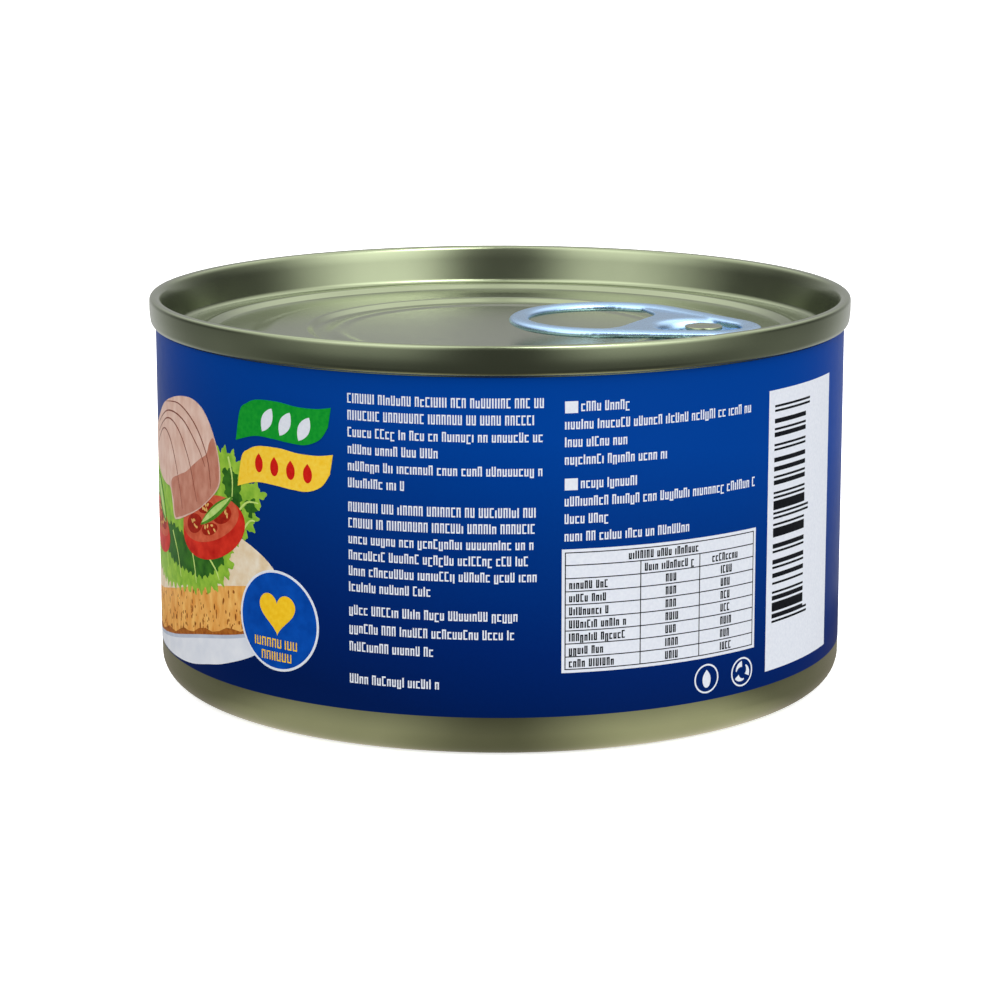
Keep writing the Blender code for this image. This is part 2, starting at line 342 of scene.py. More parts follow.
def pressed_lid():
    low = lid_low.z / MM
    seam = [(0.0, low, 0), (WALL_R - 0.4, low, 0), (WALL_R - 0.4, SEAM_FOOT, 0), (43.05, SEAM_FOOT, 0.2),
            (43.36, 44.75, 0.4), (SEAM_R, 45.9, 0.5), (SEAM_R, HEIGHT, 0.8), (42.3, HEIGHT, 0.55),
            (41.85, 46.6, 0.6)]
    channel = [(41.1, 43.3, 0.3), (40.7, 42.95, 0.3), (38.3, 42.93, 0.4)]
    outer_step = [(37.4, 43.34, 0.4), (36.8, 43.36, 0.25), (36.0, 42.7, 0.25)]
    ledge = [(31.0, 42.72, 0.5), (28.6, 43.32, 0.5), (24.6, 43.33, 0.4)]
    inner_step = [(24.0, 43.33, 0.25), (23.2, 42.72, 0.25), (21.7, 42.72, 0.4)]
    panel = [(20.7, 43.0, 0.4), (20.0, 43.02, 0.3), (19.2, 42.9, 0.4), (0.0, 42.9, 0)]
    profile = bent(seam + channel + outer_step + ledge + inner_step + panel)
    return finish_piece("pressed_lid", spun(profile), TINPLATE, "lacquered_steel", "lid", crease=50)


pressed_lid()

# %% [markdown]
# The pull ring starts as a flat blank. Its outer edge is curled under all round, the edge of the rivet
# window is rolled down as a hem, and the web between them stays flat. The ring's outline is an egg:
# two arcs, a wide one at the heel and a narrow one at the nose, joined by straight flanks. Two helpers
# build everything from loops of points: a tube for the curl, and a plate for the web and the tongue.

# %% Sweep a curl and bridge a plate
TAB_HEEL = 2.6
TAB_LENGTH = 32.0
TAB_WIDTH = 24.0
NOSE_WIDTH = 13.0
TAB_Z = 45.0
CURL_WIDTH = 2.5
CURL_HEIGHT = 1.3
CURL_FLATTER = 0.8
NOSE_CURL_HEIGHT = 0.8
WEB_EDGE = 18.7


def arc_points(centre, radii, start, end, steps):
    """Points along an elliptical arc, in degrees."""
    points = []
    for step in range(steps + 1):
        angle = math.radians(start + (end - start) * step / steps)
        points.append(Vector((centre[0] + radii[0] * math.cos(angle),
                              centre[1] + radii[1] * math.sin(angle))))
    return points


def tab_outline(inset):
    """The ring's egg outline, moved in by inset."""
    heel = TAB_WIDTH / 2
    nose = NOSE_WIDTH / 2
    heel_at = TAB_HEEL + heel
    nose_at = TAB_HEEL + TAB_LENGTH - nose
    flank = math.degrees(math.asin((heel - nose) / (nose_at - heel_at)))
    first = arc_points((heel_at, 0), (heel - inset,) * 2, 90 - flank, 270 + flank, 90)
    last = arc_points((nose_at, 0), (nose - inset,) * 2, flank - 90, 90 - flank, 40)
    return first + last


def join_loops(form, first, second):
    """Close the strip between two loops that have the same number of points."""
    for index in range(len(first)):
        after = (index + 1) % len(first)
        form.faces.new((first[index], first[after], second[after], second[index]))


def swept(form, path, width, height_at, centre_z, sides=20):
    """Add a tube round a closed path to a bmesh: domed above and flatter below, as a curl is."""
    rings = []
    for index, point in enumerate(path):
        ahead = (path[(index + 1) % len(path)] - path[index - 1]).normalized()
        out = Vector((ahead.y, -ahead.x))
        height = height_at(point.x)
        section = []
        for side in range(sides):
            angle = math.tau * side / sides
            flat = point + out * (width / 2 * math.cos(angle))
            lift = height / 2 * math.sin(angle) * (1.0 if side < sides / 2 else CURL_FLATTER)
            section.append(form.verts.new((flat.x, flat.y, centre_z + lift)))
        rings.append(section)
    for index, section in enumerate(rings):
        join_loops(form, section, rings[(index + 1) % len(rings)])


def bridged_plate(form, outer, inner, low, high):
    """Add a flat plate between two outlines that have the same number of points."""
    loops = []
    for outline in (outer, inner):
        for z in (low, high):
            loops.append([form.verts.new((p.x, p.y, z)) for p in outline])
    for first, second in ((0, 1), (1, 3), (3, 2), (2, 0)):
        join_loops(form, loops[first], loops[second])


def frame_height(along):
    """How high the curl is at a place along the ring: it sinks from the web's edge to the nose."""
    share = min(max((along - WEB_EDGE) / (TAB_HEEL + TAB_LENGTH - WEB_EDGE), 0.0), 1.0)
    return CURL_HEIGHT + (NOSE_CURL_HEIGHT - CURL_HEIGHT) * share


heel_height, nose_height = frame_height(0), frame_height(TAB_HEEL + TAB_LENGTH)
print(f"the curl is {heel_height:.1f} mm high at the heel and {nose_height:.1f} mm at the nose")

# %% [markdown]
# The web fills the ring from the finger hole to the nose, round an oval window with a hem. The hem is a
# small profile, written as steps out from the window's edge and up from the web, and carried round it.
# The finger hole ends in two soft corners, where the web sweeps into the side rails. The web's outline
# is found by looking outwards from the window, because each point of the window needs a partner.

# %% Outline the web and roll the window's hem
WEB_THICK = 0.55
WINDOW_AT = 27.0
WINDOW_SIZE = (9.8, 9.4)
WINDOW_STEPS = 240
HEM = ((0.0, -1.35), (0.05, -0.8), (0.3, -0.2), (0.7, 0.12), (1.2, 0.28), (1.7, 0.27), (1.7, -0.27),
       (1.2, -0.3), (0.8, -0.7), (0.6, -1.35))
HEM_MIDDLE = 1.2
HOLE_CORNER = 4.2
HOLE_INSET = 1.2
NEARLY_NOTHING = 1e-9


def window_line(out):
    """The window's outline, moved out from its edge."""
    radii = [side / 2 + out for side in WINDOW_SIZE]
    return arc_points((WINDOW_AT, 0), radii, 0, 360, WINDOW_STEPS)[:-1]


def add_hem(form):
    """Carry the hem's profile round the window."""
    loops = []
    for out, up in HEM:
        loops.append([form.verts.new((p.x, p.y, TAB_Z + up)) for p in window_line(out)])
    for index, loop in enumerate(loops):
        join_loops(form, loop, loops[(index + 1) % len(loops)])


def web_border():
    """The closed line that bounds the web: the curl's midline and the finger hole's soft corners."""
    line = [p for p in tab_outline(CURL_WIDTH / 2) if p.x > WEB_EDGE]
    line.sort(key=lambda p: math.atan2(p.y, p.x - WEB_EDGE))
    corner = max(line, key=lambda p: p.y)
    hole_end = WEB_EDGE - HOLE_CORNER
    bend = arc_points((hole_end, corner.y - HOLE_INSET - HOLE_CORNER), (HOLE_CORNER,) * 2, 0, 90, 16)
    soft = bend + [Vector((hole_end, corner.y))]
    return line + soft[::-1] + [Vector((p.x, -p.y)) for p in soft]


def web_outline():
    """The nearest point of the web's border in each direction from the window's middle."""
    border = web_border()
    centre = Vector((WINDOW_AT, 0.0))
    found = []
    for index in range(WINDOW_STEPS):
        angle = math.tau * index / WINDOW_STEPS
        ray = Vector((math.cos(angle), math.sin(angle)))
        reaches = []
        for first, second in zip(border, border[1:] + border[:1]):
            side = second - first
            cross = ray.x * side.y - ray.y * side.x
            if abs(cross) < NEARLY_NOTHING:
                continue
            offset = first - centre
            reach = (offset.x * side.y - offset.y * side.x) / cross
            share = (offset.x * ray.y - offset.y * ray.x) / cross
            if reach > 0 and -NEARLY_NOTHING <= share <= 1 + NEARLY_NOTHING:
                reaches.append(reach)
        found.append(centre + ray * min(reaches))
    return found


print("the web's border has", len(web_border()), "points")

# %% [markdown]
# Curl, hem, web and tongue are still four shapes that run through each other. A voxel remesh fuses them
# into one skin, and a smoothing pass leaves the soft hollows that stamping leaves where a curl runs
# into the flat. The tongue is the tab under the window that the rivet holds.

# %% Fuse and smooth the pull ring
TONGUE = (24.6, 32.4, 4.8)
TONGUE_Z = (44.05, 44.5)
RIVET_AT = 27.5
RIVET_STEM = 1.3
SKIN_VOXEL = 0.16


def add_tongue(form):
    """Add the tongue, given as start, end and width, round the rivet's stem."""
    start, end, width = TONGUE
    half = width / 2
    tip = arc_points((start + half, 0), (half, half), 90, 270, 30)
    outline = tip + [Vector((end, -half)), Vector((end, half))]
    middle = Vector((RIVET_AT, 0.0))
    hole = [middle + (point - middle).normalized() * (RIVET_STEM + 0.3) for point in outline]
    bridged_plate(form, outline, hole, *TONGUE_Z)


def pull_ring():
    form = bmesh.new()
    swept(form, tab_outline(CURL_WIDTH / 2), CURL_WIDTH, frame_height, TAB_Z)
    add_hem(form)
    bridged_plate(form, web_outline(), window_line(HEM_MIDDLE), TAB_Z - WEB_THICK / 2,
                  TAB_Z + WEB_THICK / 2)
    add_tongue(form)
    bmesh.ops.rotate(form, verts=form.verts, cent=(0, 0, 0), matrix=Matrix.Rotation(TAB_TURN, 3, "Z"))
    piece = finish_piece("pull_ring", form, ALUMINIUM, "tab_aluminium", "pull_tab")
    fuse = piece.modifiers.new("fuse", "REMESH")
    fuse.mode = "VOXEL"
    fuse.voxel_size = SKIN_VOXEL * MM
    fuse.use_smooth_shade = True
    soften = piece.modifiers.new("soften", "SMOOTH")
    soften.factor = 0.5
    soften.iterations = 8
    evaluated = piece.evaluated_get(bpy.context.evaluated_depsgraph_get())
    skin = bpy.data.meshes.new_from_object(evaluated)
    piece.modifiers.clear()
    piece.data = skin
    skin.shade_smooth()
    print("pull_ring after fusing:", len(skin.polygons), "faces")
    return piece


pull_ring()

# %% [markdown]
# The rivet is a bubble of the lid's own sheet, pushed up through the tongue and flattened. A spun
# profile with a soft shoulder is enough.

# %% Spin the rivet
def lid_rivet():
    low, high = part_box("rivet")
    centre = (low + high) / 2 / MM
    top = high.z / MM
    head = (high.x - low.x) / 2 / MM
    corners = [(0.0, low.z / MM, 0), (RIVET_STEM, low.z / MM, 0), (RIVET_STEM, top - 0.45, 0.1),
               (head, top - 0.45, 0.15), (head, top, 0.35), (head * 0.55, top, 0.2),
               (head * 0.4, top - 0.12, 0.2), (0.0, top - 0.12, 0)]
    form = spun(bent(corners), centre=(centre.x, centre.y), steps=64)
    return finish_piece("lid_rivet", form, TINPLATE, "lacquered_steel", "rivet")


lid_rivet()

# %% [markdown]
# The label is offset-printed film under a clear varnish. Printed things are coloured ink with a dot
# pattern too fine to see, so a printed colour is never quite flat: it shows a faint speckle, and a
# soft gloss from the varnish. One recipe makes every ink, with its own two shades and grain, and the
# same varnish goes over them all.

# %% Printed inks under varnish
VARNISH_ROUGHNESS = 0.34
VARNISH_LEVEL = 0.03
INK_SPECKLE = 0.35


def varnish_over(tree, tint):
    """Finish an ink with the same varnish, a little uneven in gloss."""
    place = add_node(tree, "ShaderNodeTexCoord", take="Object")
    ripple = add_node(tree, "ShaderNodeTexNoise", Vector=place, Scale=1 / (1.5 * MM), Detail=1.0)
    gloss = add_node(tree, "ShaderNodeMapRange", Value=ripple, To_Min=VARNISH_ROUGHNESS - 0.03,
                     To_Max=VARNISH_ROUGHNESS + 0.03)
    shader = add_node(tree, "ShaderNodeBsdfPrincipled", Base_Color=tint, Roughness=gloss,
                      Specular_IOR_Level=VARNISH_LEVEL)
    add_node(tree, "ShaderNodeOutputMaterial", Surface=shader)


def ink(name, light, dark, grain=INK_SPECKLE, run=1.0):
    """An ink that wanders between two shades. Grain is its speckle in mm, and run stretches it up."""
    material = bpy.data.materials.new(name)
    tree = new_tree(material)
    place = add_node(tree, "ShaderNodeTexCoord", take="Object")
    scaled = add_node(tree, "ShaderNodeMapping", {"vector_type": "TEXTURE"}, Vector=place,
                      Scale=(grain * MM, grain * MM, grain * run * MM))
    speckle = add_node(tree, "ShaderNodeTexNoise", Vector=scaled, Scale=1.0, Detail=3.0)
    share = add_node(tree, "ShaderNodeMapRange", Value=speckle, From_Min=0.28, From_Max=0.72)
    varnish_over(tree, add_node(tree, "ShaderNodeMix", {"data_type": "RGBA"}, Factor=share,
                                A=colour(dark), B=colour(light)))
    return material


WHITE = ink("white_ink", "#E9EDF5", "#DFE4EE")
BLACK = ink("black_ink", "#1B1D22", "#101216")
print("made", WHITE.name, "and", BLACK.name)

# %% [markdown]
# The ground's blue fades from bright at the top to navy at the foot. This is partly the print's own fade
# and partly painted shade, where less light reaches the foot. The fade leans: at the same height the left
# side is a little darker than the right.

# %% The fading blue ground
FADE_LEAN = 0.15
# Painted shade: the stops darken toward the foot partly for the shade there, on top of the print's fade.
FADE_AND_SHADE_STOPS = ((4.0, "#011B53"), (13.0, "#012367"), (25.0, "#01327F"), (38.0, "#013F97"))


def blue_ground():
    material = bpy.data.materials.new("blue_ground_ink_and_shade")
    tree = new_tree(material)
    place = add_node(tree, "ShaderNodeTexCoord", take="Object")
    parts = add_node(tree, "ShaderNodeSeparateXYZ", Vector=place).node
    leaning = add_node(tree, "ShaderNodeMath", {"operation": "MULTIPLY_ADD"},
                       fill=(parts.outputs["X"], FADE_LEAN, parts.outputs["Z"]))
    speckle = add_node(tree, "ShaderNodeTexNoise", Vector=place, Scale=1 / (INK_SPECKLE * MM),
                       Detail=3.0)
    nudge = add_node(tree, "ShaderNodeMapRange", Value=speckle, To_Min=-1.5 * MM, To_Max=1.5 * MM)
    level = add_node(tree, "ShaderNodeMath", {"operation": "ADD"}, fill=(leaning, nudge))
    low, high = FADE_AND_SHADE_STOPS[0][0], FADE_AND_SHADE_STOPS[-1][0]
    share = add_node(tree, "ShaderNodeMapRange", Value=level, From_Min=low * MM, From_Max=high * MM)
    fade = add_node(tree, "ShaderNodeValToRGB", Fac=share)
    stops = fade.node.color_ramp.elements
    while len(stops) < len(FADE_AND_SHADE_STOPS):
        stops.new(0.5)
    for stop, (height, shade) in zip(stops, FADE_AND_SHADE_STOPS):
        stop.position = (height - low) / (high - low)
        stop.color = colour(shade)
    varnish_over(tree, fade)
    return material


BLUE = blue_ground()
print("made", BLUE.name)

# %% [markdown]
# The sleeve is a closed thin band that carries the ground colour. It is cut into the same narrow
# strips as every printed shape on it, so that a shape a few thousandths of a millimetre higher lies
# parallel to it everywhere and never shows through.

# %% Wrap the label sleeve
def label_sleeve():
    inner = WALL_R - LABEL_THICK
    profile = [(inner, LABEL_FOOT), (WALL_R, LABEL_FOOT), (WALL_R, LABEL_TOP), (inner, LABEL_TOP)]
    form = spun(profile, closed=True)
    bmesh.ops.rotate(form, verts=form.verts, cent=(0, 0, 0),
                     matrix=Matrix.Rotation(-math.pi / 2, 3, "Z"))
    return finish_piece("label_sleeve", form, BLUE, "label_print", "label")


label_sleeve()

# %% [markdown]
# A printed shape is drawn flat, in (around, up) millimetres: around is the distance along the wall
# from the middle of the side that faces the camera, positive to the right, and up is the height above
# the table. It is cut into strips, thickened, and wrapped on the wall. Each ink has a level, as a
# printer lays one ink over another, and a level is 6 thousandths of a millimetre.

# %% Draw flat, then wrap on the wall
INK_STEP = 0.006


def printed(name, outlines, material, level):
    """Make flat outlines, each a list of (around, up), into one wrapped layer of ink."""
    form = bmesh.new()
    for outline in outlines:
        form.faces.new([form.verts.new((x, y, 0.0)) for x, y in outline])
    low = min(x for outline in outlines for x, y in outline)
    high = max(x for outline in outlines for x, y in outline)
    for index in range(math.ceil(low / STRIP), math.floor(high / STRIP) + 1):
        bmesh.ops.bisect_plane(form, geom=form.verts[:] + form.edges[:] + form.faces[:], dist=1e-5,
                               plane_co=(index * STRIP, 0, 0), plane_no=(1, 0, 0))
    bmesh.ops.triangulate(form, faces=[f for f in form.faces if len(f.verts) > 4])
    raised = bmesh.ops.extrude_face_region(form, geom=form.faces[:], use_keep_orig=True)
    top = {item for item in raised["geom"] if isinstance(item, bmesh.types.BMVert)}
    for vert in form.verts:
        around, up = vert.co.x, vert.co.y
        radius = WALL_R + (level * INK_STEP if vert in top else -INK_STEP)
        # Points between two cuts lie on the straight strip, as the sleeve's do
        strip = math.floor(around / STRIP + 1e-6)
        first, second = strip * STRIP / WALL_R, (strip + 1) * STRIP / WALL_R
        share = around / STRIP - strip
        x = radius * (math.sin(first) * (1 - share) + math.sin(second) * share)
        y = -radius * (math.cos(first) * (1 - share) + math.cos(second) * share)
        vert.co = (x, y, up)
    return finish_piece(name, form, material, "label_print")


def box(left, top, width, height):
    """A rectangle from its top left corner."""
    return [(left, top - height), (left + width, top - height), (left + width, top), (left, top)]


def turned_point(centre, along, across, turn):
    """A point given by its place along and across a line that is turned by degrees."""
    c, s = math.cos(math.radians(turn)), math.sin(math.radians(turn))
    return (centre[0] + along * c - across * s, centre[1] + along * s + across * c)


def oval(centre, radii, steps=64, turn=0.0):
    """An ellipse, turned by degrees."""
    angles = [math.tau * step / steps for step in range(steps)]
    return [turned_point(centre, radii[0] * math.cos(angle), radii[1] * math.sin(angle), turn)
            for angle in angles]


def curve_stretch(four, steps):
    """The curve between the middle two of four points, by Catmull and Rom's rule."""
    p0, p1, p2, p3 = (Vector(point) for point in four)
    made = []
    for step in range(steps):
        t = step / steps
        point = (p1 * 2 + (p2 - p0) * t + (p0 * 2 - p1 * 5 + p2 * 4 - p3) * t ** 2
                 + (p1 * 3 - p0 - p2 * 3 + p3) * t ** 3) / 2
        made.append((point.x, point.y))
    return made


def smooth_loop(points, steps=8):
    """A closed curve through a few points."""
    count = len(points)
    made = []
    for index in range(count):
        made += curve_stretch([points[(index + k) % count] for k in (-1, 0, 1, 2)], steps)
    return made


def smooth_open(points, steps=6):
    """An open curve through a few points."""
    padded = [points[0], *points, points[-1]]
    made = []
    for index in range(len(points) - 1):
        made += curve_stretch(padded[index:index + 4], steps)
    return made + [tuple(points[-1])]


def ring(centre, outer, inner, steps=64):
    """A flat ring as a row of four-sided pieces."""
    pieces = []
    for step in range(steps):
        a, b = math.tau * step / steps, math.tau * (step + 1) / steps
        pieces.append([(centre[0] + r * math.cos(angle), centre[1] + r * math.sin(angle))
                       for r, angle in ((inner, a), (outer, a), (outer, b), (inner, b))])
    return pieces


print("drawing helpers ready")

# %% [markdown]
# Small print is drawn as designers do before the words exist: rows of plain marks as wide as the
# letters of a condensed face, grouped like words and as ragged as real lines. Each mark is a bent
# stroke, open above, below or to one side, so that it keeps the grey tone of print and says nothing.
# A real stroke is 0.15 mm wide. A line is given by its left edge, its top and its right end, and a
# block by its top, the step between its lines, their right ends, and how many of them are in capitals.

# %% Set rows of plain marks
MARK_PITCH = 0.61
MARK_WIDTH = 0.46
MARK_STROKE = 0.16
CAP_HEIGHT = 1.12
LOW_HEIGHT = 0.86
TAIL = 0.2
NARROW_WIDTH = 0.18
WORD_GAP = 0.34


def bent_mark(left, low, width, height, opening):
    """A stroke bent round three sides of a box, or a straight one where the box is narrow."""
    if width < 2.2 * MARK_STROKE:
        return box(left, low + height, width, height)
    s = MARK_STROKE
    corners = {
        "foot": ((0, 0), (s, 0), (s, height - s), (width - s, height - s), (width - s, 0), (width, 0),
                 (width, height), (0, height)),
        "top": ((0, 0), (width, 0), (width, height), (width - s, height), (width - s, s), (s, s),
                (s, height), (0, height)),
        "side": ((0, 0), (width, 0), (width, s), (s, s), (s, height - s), (width, height - s),
                 (width, height), (0, height)),
    }
    return [(left + x, low + y) for x, y in corners[opening]]


def marks_line(left, top, right, chance, height=CAP_HEIGHT, pitch=MARK_PITCH, capitals=0.15):
    """One line of marks, in words of 2 to 9 marks. Capitals is the share of tall marks."""
    full = MARK_WIDTH * pitch / MARK_PITCH
    low = LOW_HEIGHT / CAP_HEIGHT * height
    marks = []
    at = left
    word = chance.randint(4, 9)
    while at + full <= right + 0.01:
        width = NARROW_WIDTH if chance.random() < 0.18 else full
        tall = chance.random() < capitals
        mark_height = height if tall or chance.random() < 0.28 else low
        tail = TAIL if mark_height == low and chance.random() < 0.1 else 0.0
        opening = chance.choice(("foot", "top", "side", "foot", "top"))
        marks.append(bent_mark(at, top - height - tail, width, mark_height + tail, opening))
        at += width + (pitch - full)
        word -= 1
        if word == 0:
            at += WORD_GAP
            word = chance.randint(2, 9)
    return marks


def small_print():
    chance = random.Random(12)
    left = -17.7
    blocks = (
        (41.8, 1.94, (5.25, 4.1, 5.0, -7.0, 5.3, -10.4), 2),
        (29.3, 1.86, (4.3, 4.6, 4.2, 4.0, 4.7, -7.7), 2),
        (17.3, 2.15, (2.4, 1.6, -7.6), 0),
        (9.2, 1.9, (-6.9,), 0),
    )
    marks = []
    for top, step, ends, loud in blocks:
        for row, end in enumerate(ends):
            marks += marks_line(left, top - row * step, end, chance,
                                capitals=0.95 if row < loud else 0.12)
    second = 7.3
    for top, ends in ((41.3, (15.2, 32.0, 14.8, 20.0)), (32.5, (16.2, 32.7, 12.8, 22.8))):
        marks.append(box(second, top + 0.05, 1.5, 1.35))
        marks += marks_line(second + 1.85, top, ends[0], chance)
        for row, end in enumerate(ends[1:], 1):
            marks += marks_line(second, top - row * 2.02, end, chance)
    return printed("print_small_marks", marks, WHITE, 1)


small_print()

# %% [markdown]
# The facts table is a white field with a thin dark border, rules between nine rows, and two upright
# rules below its title. Its entries are short rows of dark marks. The rules are 0.1 mm wide on a real
# label and drawn at 0.12 mm, the finest line that still shows.

# %% Rule the facts table
TABLE_LEFT = 7.0
TABLE_RIGHT = 32.9
TABLE_TOP = 24.4
TABLE_FOOT = 10.0
TABLE_INSET = 0.35
TABLE_ROWS = 9
TABLE_COLUMNS = (16.4, 24.2)
RULE = 0.12


def facts_table():
    chance = random.Random(5)
    field = [box(TABLE_LEFT, TABLE_TOP, TABLE_RIGHT - TABLE_LEFT, TABLE_TOP - TABLE_FOOT)]
    printed("print_table_field", field, WHITE, 1)
    left, right = TABLE_LEFT + TABLE_INSET, TABLE_RIGHT - TABLE_INSET
    top, foot = TABLE_TOP - TABLE_INSET, TABLE_FOOT + TABLE_INSET
    row = (top - foot) / TABLE_ROWS
    rules = [box(left, top, right - left, RULE), box(left, foot + RULE, right - left, RULE)]
    for side in (left, right - RULE):
        rules.append(box(side, top - RULE, RULE, top - foot - 2 * RULE))
    edges = [left + RULE, *TABLE_COLUMNS, right - RULE]
    for index in range(1, TABLE_ROWS):
        level = top - index * row + RULE / 2
        if index == 1:
            rules.append(box(edges[0], level, edges[-1] - edges[0], RULE))
            continue
        for number, (first, second) in enumerate(zip(edges, edges[1:])):
            start = first + (RULE / 2 if number else 0)
            rules.append(box(start, level, second - start - (RULE / 2 if number < 2 else 0), RULE))
    for column in TABLE_COLUMNS:
        rules.append(box(column - RULE / 2, top - row - RULE / 2, RULE,
                         top - row - RULE / 2 - foot - RULE))
    start = left + 0.5
    entries = [(14.9, 0.2, 24.4, 0.3), (16.9, 1.2, 23.8, 0.3), (26.0, 1.2, 30.2, 0.3)]
    for index, length in enumerate((5.3, 4.6, 5.1, 7.2, 7.2, 4.3, 5.6), 2):
        entries += [(start, index + 0.2, start + length, 0.3), (19.6, index + 0.2, 21.3, 1.0),
                    (27.3, index + 0.2, 29.0, 1.0)]
    marks = []
    for first, rows_down, last, capitals in entries:
        marks += marks_line(first, top - row * rows_down, last, chance, row * 0.62, 0.5, capitals)
    printed("print_table_rules", rules, BLACK, 2)
    return printed("print_table_marks", marks, BLACK, 2)


facts_table()

# %% [markdown]
# A shop's scanner reads the stripes of the tall white panel. Here they are a made-up sequence: the
# widths are whole multiples of one module, drawn by a seeded random rule, with longer guard stripes at
# the ends and in the middle.

# %% Stripe the scan panel
PANEL = (35.0, 40.2, 15.3, 33.6)
STRIPE_LEFT = 36.1
STRIPE_LENGTH = 6.9
GUARD_LENGTH = 7.9
STRIPE_TOP = 38.4
MODULE = 0.272


def scan_panel():
    printed("print_scan_panel", [box(*PANEL)], WHITE, 1)
    chance = random.Random(29)
    stripes = []
    at = STRIPE_TOP
    for part in ("guard", "digits", "middle", "digits", "guard"):
        if part == "digits":
            for _ in range(6):
                widths = chance.choice(((3, 2, 1, 1), (2, 2, 2, 1), (2, 1, 2, 2), (1, 4, 1, 1),
                                        (1, 1, 3, 2), (1, 2, 3, 1), (1, 1, 1, 4), (3, 1, 1, 2)))
                for index, width in enumerate(widths):
                    if index % 2 == 1:
                        stripes.append(box(STRIPE_LEFT, at, STRIPE_LENGTH, width * MODULE))
                    at -= width * MODULE
            continue
        if part == "middle":
            at -= MODULE
        for _ in range(2):
            stripes.append(box(STRIPE_LEFT, at, GUARD_LENGTH, MODULE))
            at -= 2 * MODULE
    print(f"stripes end at {at:.1f} mm")
    return printed("print_scan_stripes", stripes, BLACK, 2)


scan_panel()

# %% [markdown]
# Two small round signs sit under the table. They are plain rings, one with a drop and one with three
# arcs, drawn with a stroke: a line given a width on both sides.

# %% Draw the two round signs
SIGN_RADIUS = 1.75
SIGN_LINE = 0.2


def stroke(points, width):
    """Give a line a width, as one outline up its left side and back down its right."""
    left, right = [], []
    for index, (x, y) in enumerate(points):
        before = points[max(index - 1, 0)]
        after = points[min(index + 1, len(points) - 1)]
        length = math.hypot(after[0] - before[0], after[1] - before[1])
        nx, ny = (before[1] - after[1]) / length, (after[0] - before[0]) / length
        half = width(index / (len(points) - 1)) / 2 if callable(width) else width / 2
        left.append((x + nx * half, y + ny * half))
        right.append((x - nx * half, y - ny * half))
    return left + right[::-1]


def drop(centre, size):
    """A water drop standing upright."""
    points = []
    for step in range(28):
        angle = math.tau * step / 28
        pull = 1.0 - 0.75 * max(math.sin(angle), 0.0) ** 3
        points.append((centre[0] + size * 0.62 * math.cos(angle) * pull,
                       centre[1] + size * (math.sin(angle) * (1.0 + 0.25 * (angle < math.pi)) - 0.1)))
    return points


def round_signs():
    first, second = (25.4, 7.5), (30.9, 7.4)
    shapes = ring(first, SIGN_RADIUS, SIGN_RADIUS - SIGN_LINE) + [drop((first[0], first[1] - 0.05), 0.95)]
    shapes += ring(second, SIGN_RADIUS, SIGN_RADIUS - SIGN_LINE)
    for turn in (90, 210, 330):
        line = [(second[0] + 0.95 * math.cos(math.radians(turn + step * 9)),
                 second[1] + 0.95 * math.sin(math.radians(turn + step * 9))) for step in range(10)]
        shapes.append(stroke(line, lambda t: 0.75 - 0.6 * t))
    return printed("print_round_signs", shapes, WHITE, 1)


round_signs()

# %% [markdown]
# Two ribbons, one green and one yellow, carry three leaves and a row of drops. One outline serves
# both: a nearly level top, a rounded right end, and a left end that trails down to a point.

# %% Draw the two ribbons
GREEN = ink("green_ink", "#1FA131", "#0B8F2C", grain=0.5)
YELLOW = ink("yellow_ink", "#FFD94E", "#FBC92E", grain=0.5)
RED = ink("red_ink", "#D9241C", "#C61A14", grain=0.4)


def ribbon(left, top):
    """A ribbon's outline, placed by its left shoulder."""
    upper = [(-3.7, -5.2), (-2.9, -1.6), (-1.7, -0.6), (0.0, 0.0), (3.1, 0.1), (5.9, -0.2),
             (8.6, -0.2), (10.6, 0.1)]
    lower = [(10.2, -2.2), (9.1, -3.7), (7.2, -4.5), (5.0, -4.5), (2.4, -4.3), (-0.5, -4.3),
             (-3.7, -5.2)]
    upper = smooth_open([(left + x, top + y) for x, y in upper])
    lower = smooth_open([(left + x, top + y) for x, y in lower])
    return upper + lower[:-1]


def leaf(root, length, width, turn):
    """A pointed leaf from its root."""
    sides = [[], []]
    for step in range(13):
        t = step / 12
        bulge = width / 2 * math.sin(math.pi * t) ** 0.8
        for side, sign in ((0, 1), (1, -1)):
            sides[side].append(turned_point(root, length * t, sign * bulge, turn))
    return sides[0] + sides[1][-2:0:-1]


def ribbons():
    printed("print_green_ribbon", [ribbon(-30.4, 39.8)], GREEN, 8)
    printed("print_yellow_ribbon", [ribbon(-30.2, 34.4)], YELLOW, 8)
    leaves = [leaf(root, 3.2, 1.6, 62) for root in ((-29.6, 36.2), (-26.9, 36.0), (-24.2, 35.7))]
    printed("print_ribbon_leaves", leaves, WHITE, 9)
    drops = [drop((-30.2 + 2.4 * index, 32.4 - 0.14 * index), 1.0) for index in range(4)]
    return printed("print_ribbon_drops", drops, RED, 9)


ribbons()

# %% [markdown]
# The serving picture on the left is printed food: a slice of toast on a white plate, with lettuce, a
# cut tomato and a block of pale fish. It is built the way a screen printer would split it, from broad
# fields to small marks, each in its own ink. It runs on round the can where the camera can't see.

# %% Lay the plate and the toast
PLATE_INK = ink("plate_ink", "#EDF0F6", "#DDE2EC", grain=2.5)
PLATE_SHADE = ink("plate_shade_ink", "#C9D0DF", "#B4BDD0", grain=2.0)
TOAST_SIDE = ink("toast_side_ink", "#FBC670", "#DF923F", grain=0.9, run=2.6)
TOAST_TOP = ink("toast_top_ink", "#F4E8D2", "#E2C79C", grain=1.6)
CRUST_INK = ink("crust_ink", "#B8702C", "#8F4A1C", grain=0.5)
CRUMB_INK = ink("crumb_ink", "#B06A2A", "#7E4319", grain=0.4)


